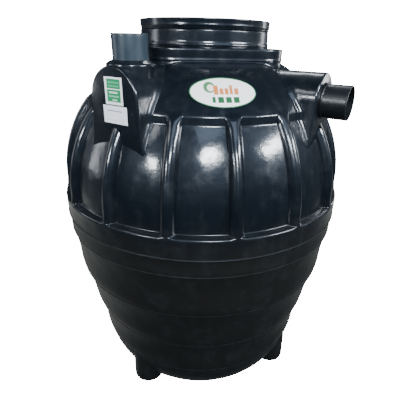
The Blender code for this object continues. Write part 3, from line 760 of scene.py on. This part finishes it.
def arched_box(angle, half, spring_z):
    """A bmesh of a box's outer skin, its face square to the radius, its sides hollowed into the shell."""
    box = bmesh.new()
    spread = BOX_SPREAD * (spring_z - BOX_FOOT_Z) / BOX_SPREAD_HEIGHT
    side = [(half + spread, BOX_FOOT_Z)] + run((half + spread, BOX_FOOT_Z), (half, spring_z), ARCH_STEPS)
    turns = [math.pi * i / ARCH_STEPS for i in range(1, ARCH_STEPS)]
    roof = [(half * math.cos(turn), spring_z + half * math.sin(turn)) for turn in turns]
    outline = side + roof + [(-across, up) for across, up in reversed(side)]
    corners = [box.verts.new((across, up, BOX_FACE)) for across, up in outline]
    box.faces.new(corners)
    edges = box.edges[:]
    bevelled = BOX_FACE - BOX_EDGE
    rows = int((bevelled - BOX_INNER_END) / BOX_ROW)
    for i in range(rows + 1):
        pushed = bmesh.ops.extrude_edge_only(box, edges=edges)
        moved = [v for v in pushed["geom"] if isinstance(v, bmesh.types.BMVert)]
        edges = [e for e in pushed["geom"] if isinstance(e, bmesh.types.BMEdge)]
        step = BOX_EDGE * 1.3 if i == 0 else BOX_ROW
        bmesh.ops.translate(box, verts=moved, vec=(0.0, 0.0, -step))
    bmesh.ops.contextual_create(box, geom=edges)
    bmesh.ops.recalc_face_normals(box, faces=box.faces)
    rim = [e for e in box.edges if all(abs(v.co.z - BOX_FACE) < 1e-6 for v in e.verts)]
    bmesh.ops.bevel(
        box,
        geom=rim,
        offset=BOX_EDGE,
        offset_type="OFFSET",
        affect="EDGES",
        segments=5,
        profile=0.5,
        material=-1,
    )
    box.normal_update()
    outward = [vert.normal.copy() for vert in box.verts]
    for vert, normal in zip(box.verts, outward):
        if min(vert.co.z - BOX_INNER_END, vert.co.y - BOX_FOOT_Z) < 0.001:
            continue
        place = facing(angle) @ vert.co
        clear, _ = clearance(place)
        if clear > BOX_FILLET - FILLET_EDGE:
            continue
        sideways = Vector((normal.x, normal.y, 0.0))
        reach = (math.sqrt(BOX_FILLET) - math.sqrt(max(clear, 0.0) + FILLET_EDGE)) ** 2
        pushed_place = place + facing(angle).to_3x3() @ (sideways * reach)
        now_clear, lean = clearance(pushed_place)
        radius = math.hypot(pushed_place.x, pushed_place.y)
        sink = max(now_clear - clear, 0.0) * sideways.length / lean
        pushed_place.x *= 1 - sink / radius
        pushed_place.y *= 1 - sink / radius
        vert.co = facing(angle).inverted() @ pushed_place
    box.transform(facing(angle))
    bmesh.ops.recalc_face_normals(box, faces=box.faces)
    return box


inlet_box = arched_box(INLET_ANGLE, *INLET_ARCH)
finish_piece("inlet_box_skin", inlet_box, polyethylene, ["inlet_box"], 60)
outlet_box = arched_box(OUTLET_ANGLE, *OUTLET_ARCH)
finish_piece("outlet_box_skin", outlet_box, polyethylene, ["outlet_box"], 60)


# Inlet boss and pipe: a round boss moulded on the inlet box's roof, with a low cone up to the pipe that
# stands in it. The pipe is a cut end of blue-grey drain pipe, PVC-U, pushed through the boss and open at
# its top.
INLET_PIPE_OUT = 0.423
INLET_PIPE_Z = (1.215, 1.467)
INLET_PIPE_RADIUS = 0.057
PIPE_WALL = 0.004
PIPE_EDGE = 0.001
BOSS_BORE = INLET_PIPE_RADIUS + 0.0006
BOSS_RADIUS = 0.079
BOSS_FOOT_Z = 1.302
BOSS_EDGE_Z = 1.381
BOSS_CONE = (0.0605, 1.3905)


def pvc(name, colour, dusty):
    """Extruded rigid PVC, index 1.53: smooth, slightly glossy, with handling marks some 40 mm across."""
    material = bpy.data.materials.new(name)
    material.use_nodes = True
    tree = material.node_tree
    shader = tree.nodes["Principled BSDF"]
    shader.inputs["IOR"].default_value = 1.53
    place = add_node(tree, "ShaderNodeTexCoord")
    cloud = add_node(
        tree,
        "ShaderNodeTexNoise",
        {"Scale": 26.0, "Detail": 4.0, "Roughness": 0.65},
        {"Vector": (place, "Object")},
    )
    tint = add_node(
        tree,
        "ShaderNodeMix",
        {"data_type": "RGBA", 6: srgb(colour), 7: srgb(dusty)},
        {"Factor": (cloud, "Fac")},
    )
    tree.links.new(tint.outputs[2], shader.inputs["Base Color"])
    rough = add_node(
        tree, "ShaderNodeMapRange", {"To Min": 0.26, "To Max": 0.44}, {"Value": (cloud, "Fac")}
    )
    tree.links.new(rough.outputs["Result"], shader.inputs["Roughness"])
    return material


def pipe_profile(radius, low, high):
    """The closed section of a pipe's wall, with small rounds at both mouths."""
    inner = radius - PIPE_WALL
    line = [
        (inner, low + PIPE_EDGE),
        (inner + PIPE_EDGE, low),
        (radius - PIPE_EDGE, low),
        (radius, low + PIPE_EDGE),
    ]
    line += run(line[-1], (radius, high - PIPE_EDGE), 24)
    line += bend((radius, high - PIPE_EDGE), (radius, high), (radius - PIPE_EDGE, high), 3)[1:]
    line += [(inner + PIPE_EDGE, high), (inner, high - PIPE_EDGE)]
    return line


grey_pvc = pvc("blue_grey_pvc", "#1f2b34", "#303e48")
black_pvc = pvc("black_pvc", "#0d1114", "#171b1e")
inlet_place = Matrix.Rotation(INLET_ANGLE, 4, "Z") @ Matrix.Translation((0.0, -INLET_PIPE_OUT, 0.0))

boss_line = [(BOSS_BORE, BOSS_FOOT_Z), (BOSS_RADIUS, BOSS_FOOT_Z)]
boss_line += run(boss_line[-1], (BOSS_RADIUS, BOSS_EDGE_Z - 0.006), 20)
boss_line += bend(
    boss_line[-1], (BOSS_RADIUS, BOSS_EDGE_Z), (BOSS_RADIUS - 0.007, BOSS_EDGE_Z + 0.003), 6
)[1:]
boss_line += run(boss_line[-1], BOSS_CONE, 5)
boss_line += bend(BOSS_CONE, (BOSS_CONE[0] - 0.002, BOSS_CONE[1] + 0.001), (BOSS_BORE, BOSS_CONE[1]), 3)[1:]
boss = turned(boss_line, 128, closed=True)
boss.transform(inlet_place)
finish_piece("inlet_boss_skin", boss, polyethylene, ["inlet_collar"])
inlet_pipe = turned(pipe_profile(INLET_PIPE_RADIUS, *INLET_PIPE_Z), 128, closed=True)
inlet_pipe.transform(inlet_place)
finish_piece("inlet_pipe_skin", inlet_pipe, grey_pvc, ["inlet_pipe"])


# Outlet pipe: a short black drain pipe that runs level out of the outlet box's face, with a bead of sealant
# at its root.
OUTLET_PIPE_RADIUS = 0.059
OUTLET_PIPE_Z = 1.267
OUTLET_PIPE_OUT = (0.445, 0.603)
BEAD_BORE = OUTLET_PIPE_RADIUS + 0.0002
BEAD_RADIUS = 0.0632
BEAD_DEPTH = 0.0085

outlet_place = facing(OUTLET_ANGLE) @ Matrix.Translation((0.0, OUTLET_PIPE_Z, 0.0))
outlet_pipe = turned(pipe_profile(OUTLET_PIPE_RADIUS, *OUTLET_PIPE_OUT), 128, closed=True)
outlet_pipe.transform(outlet_place)
finish_piece("outlet_pipe_skin", outlet_pipe, black_pvc, ["outlet_pipe"])
bead_line = [
    (BEAD_BORE, BOX_FACE - 0.001), (BEAD_RADIUS, BOX_FACE - 0.001), (BEAD_RADIUS, BOX_FACE + 0.003)
]
bead_line += bend(
    bead_line[-1], (BEAD_RADIUS, BOX_FACE + BEAD_DEPTH), (BEAD_BORE, BOX_FACE + BEAD_DEPTH), 8
)[1:]
bead = turned(bead_line, 96, closed=True)
bead.transform(outlet_place)
finish_piece("outlet_bead_skin", bead, black_pvc, ["outlet_collar"])


# Labels: an oval one on the shoulder over the first rib, and two rectangular ones on the inlet box's face.
# Printed vinyl, stuck on; their print here is only plain shapes.
LABEL_HALF = (0.110, 0.070)
LABEL_ANGLE = math.radians(-2.5)
LABEL_Z = 1.302
LABEL_LIFT = 0.0006
FACE_LIFT = 0.0004
GREEN_LABEL = ((-0.031, 1.261), (0.045, 1.344))
WHITE_LABEL = ((-0.045, 1.202), (0.0585, 1.258))


def sheet(columns, rows, place, round_sheet=False):
    """A bmesh sheet with a UV map from -1 to 1 each way, its points set by place(u, v)."""
    flat = bmesh.new()
    bmesh.ops.create_grid(flat, x_segments=columns, y_segments=rows, size=1.0)
    uv = flat.loops.layers.uv.new("print")
    for vert in flat.verts:
        u, v = vert.co.x, vert.co.y
        if round_sheet:
            vert.co.x, vert.co.y = u * math.sqrt(1 - v * v / 2), v * math.sqrt(1 - u * u / 2)
    for face in flat.faces:
        for loop in face.loops:
            loop[uv].uv = (loop.vert.co.x, loop.vert.co.y)
    for vert in flat.verts:
        vert.co = place(vert.co.x, vert.co.y)
    return flat


def vinyl(name, base, prints):
    """Printed vinyl film, index 1.54, satin: a base colour with each print laid over it. A print is its
    colour, its centre, its half size and whether it is round."""
    material = bpy.data.materials.new(name)
    material.use_nodes = True
    tree = material.node_tree
    shader = tree.nodes["Principled BSDF"]
    shader.inputs["Roughness"].default_value = 0.38
    shader.inputs["IOR"].default_value = 1.54
    place = add_node(tree, "ShaderNodeUVMap", {"uv_map": "print"})
    below = add_node(tree, "ShaderNodeRGB")
    below.outputs["Color"].default_value = srgb(base)
    source = (below, "Color")
    for colour, centre, half, is_round in prints:
        shifted = add_node(
            tree, "ShaderNodeVectorMath", {"operation": "SUBTRACT", 1: (*centre, 0.0)}, {0: (place, "UV")}
        )
        plain = add_node(tree, "ShaderNodeVectorMath", {"operation": "ABSOLUTE"}, {0: (shifted, "Vector")})
        scaled = add_node(
            tree, "ShaderNodeVectorMath", {"operation": "DIVIDE", 1: (*half, 1.0)}, {0: (plain, "Vector")}
        )
        if is_round:
            largest = add_node(
                tree, "ShaderNodeVectorMath", {"operation": "LENGTH"}, {0: (scaled, "Vector")}
            )
        else:
            parts = add_node(tree, "ShaderNodeSeparateXYZ", links={"Vector": (scaled, "Vector")})
            largest = add_node(
                tree, "ShaderNodeMath", {"operation": "MAXIMUM"}, {0: (parts, "X"), 1: (parts, "Y")}
            )
        inside = add_node(
            tree, "ShaderNodeMath", {"operation": "LESS_THAN", 1: 1.0}, {0: (largest, "Value")}
        )
        layer = add_node(
            tree,
            "ShaderNodeMix",
            {"data_type": "RGBA", 7: srgb(colour)},
            {"Factor": (inside, "Value"), 6: source},
        )
        source = (layer, 2)
    tree.links.new(source[0].outputs[source[1]], shader.inputs["Base Color"])
    return material


def on_shoulder(u, v):
    """A point of the oval label, which follows the shoulder a little above it."""
    slope = math.atan2(TURRET_FOOT_Z - RIM[1], RIM[0] - TURRET_HALF)
    height = LABEL_Z + v * LABEL_HALF[1] * math.sin(slope)
    turn = LABEL_ANGLE + u * LABEL_HALF[0] / shell_radius(LABEL_ANGLE, height)
    radius = shell_radius(turn, height) + LABEL_LIFT
    return Vector((radius * math.sin(turn), -radius * math.cos(turn), height + LABEL_LIFT))


def on_face(corners_of_label):
    """Places a rectangular label on the inlet box's face."""
    (left, low), (right, high) = corners_of_label

    def place(u, v):
        across, up = left + (right - left) * (u + 1) / 2, low + (high - low) * (v + 1) / 2
        return facing(INLET_ANGLE) @ Vector((across, up, BOX_FACE + FACE_LIFT))

    return place


oval_print = vinyl(
    "oval_label_vinyl",
    "#2f6a45",
    [
        ("#fdfffb", (0.0, 0.0), (0.965, 0.935), True),
        ("#4c8259", (-0.40, 0.34), (0.17, 0.36), True),
        ("#f6f1e6", (-0.37, 0.30), (0.10, 0.22), True),
        ("#cf7f49", (-0.22, 0.16), (0.065, 0.30), False),
        ("#cf7f49", (-0.06, 0.08), (0.055, 0.20), False),
        ("#cf7f49", (0.09, 0.08), (0.055, 0.20), False),
        ("#cf7f49", (0.23, 0.18), (0.045, 0.30), False),
        ("#cf7f49", (0.38, 0.08), (0.060, 0.20), False),
        ("#24613c", (-0.31, -0.48), (0.045, 0.19), False),
        ("#24613c", (-0.11, -0.48), (0.085, 0.19), False),
        ("#24613c", (0.12, -0.48), (0.085, 0.19), False),
        ("#24613c", (0.35, -0.48), (0.085, 0.19), False),
    ],
)
green_print = vinyl(
    "green_label_vinyl",
    "#fbfdfb",
    [
        ("#178a55", (0.0, 0.52), (0.76, 0.34), False),
        ("#178a55", (0.0, -0.34), (0.76, 0.44), False),
        ("#5fb78d", (0.0, 0.62), (0.60, 0.05), False),
        ("#5fb78d", (0.0, 0.36), (0.60, 0.05), False),
        ("#d8efe2", (-0.05, -0.10), (0.48, 0.07), False),
        ("#7cc4a0", (0.0, -0.38), (0.58, 0.06), False),
        ("#bfe3cf", (0.08, -0.64), (0.26, 0.06), False),
    ],
)
white_print = vinyl(
    "white_label_vinyl",
    "#f8f9ff",
    [("#7f8ba5", (-0.05, 0.42), (0.62, 0.055), False), ("#c9cede", (0.0, -0.62), (0.80, 0.02), False)],
)

finish_piece("oval_label", sheet(48, 24, on_shoulder, True), oval_print, [])
finish_piece("green_label", sheet(4, 4, on_face(GREEN_LABEL)), green_print, [])
finish_piece("white_label", sheet(4, 4, on_face(WHITE_LABEL)), white_print, [])
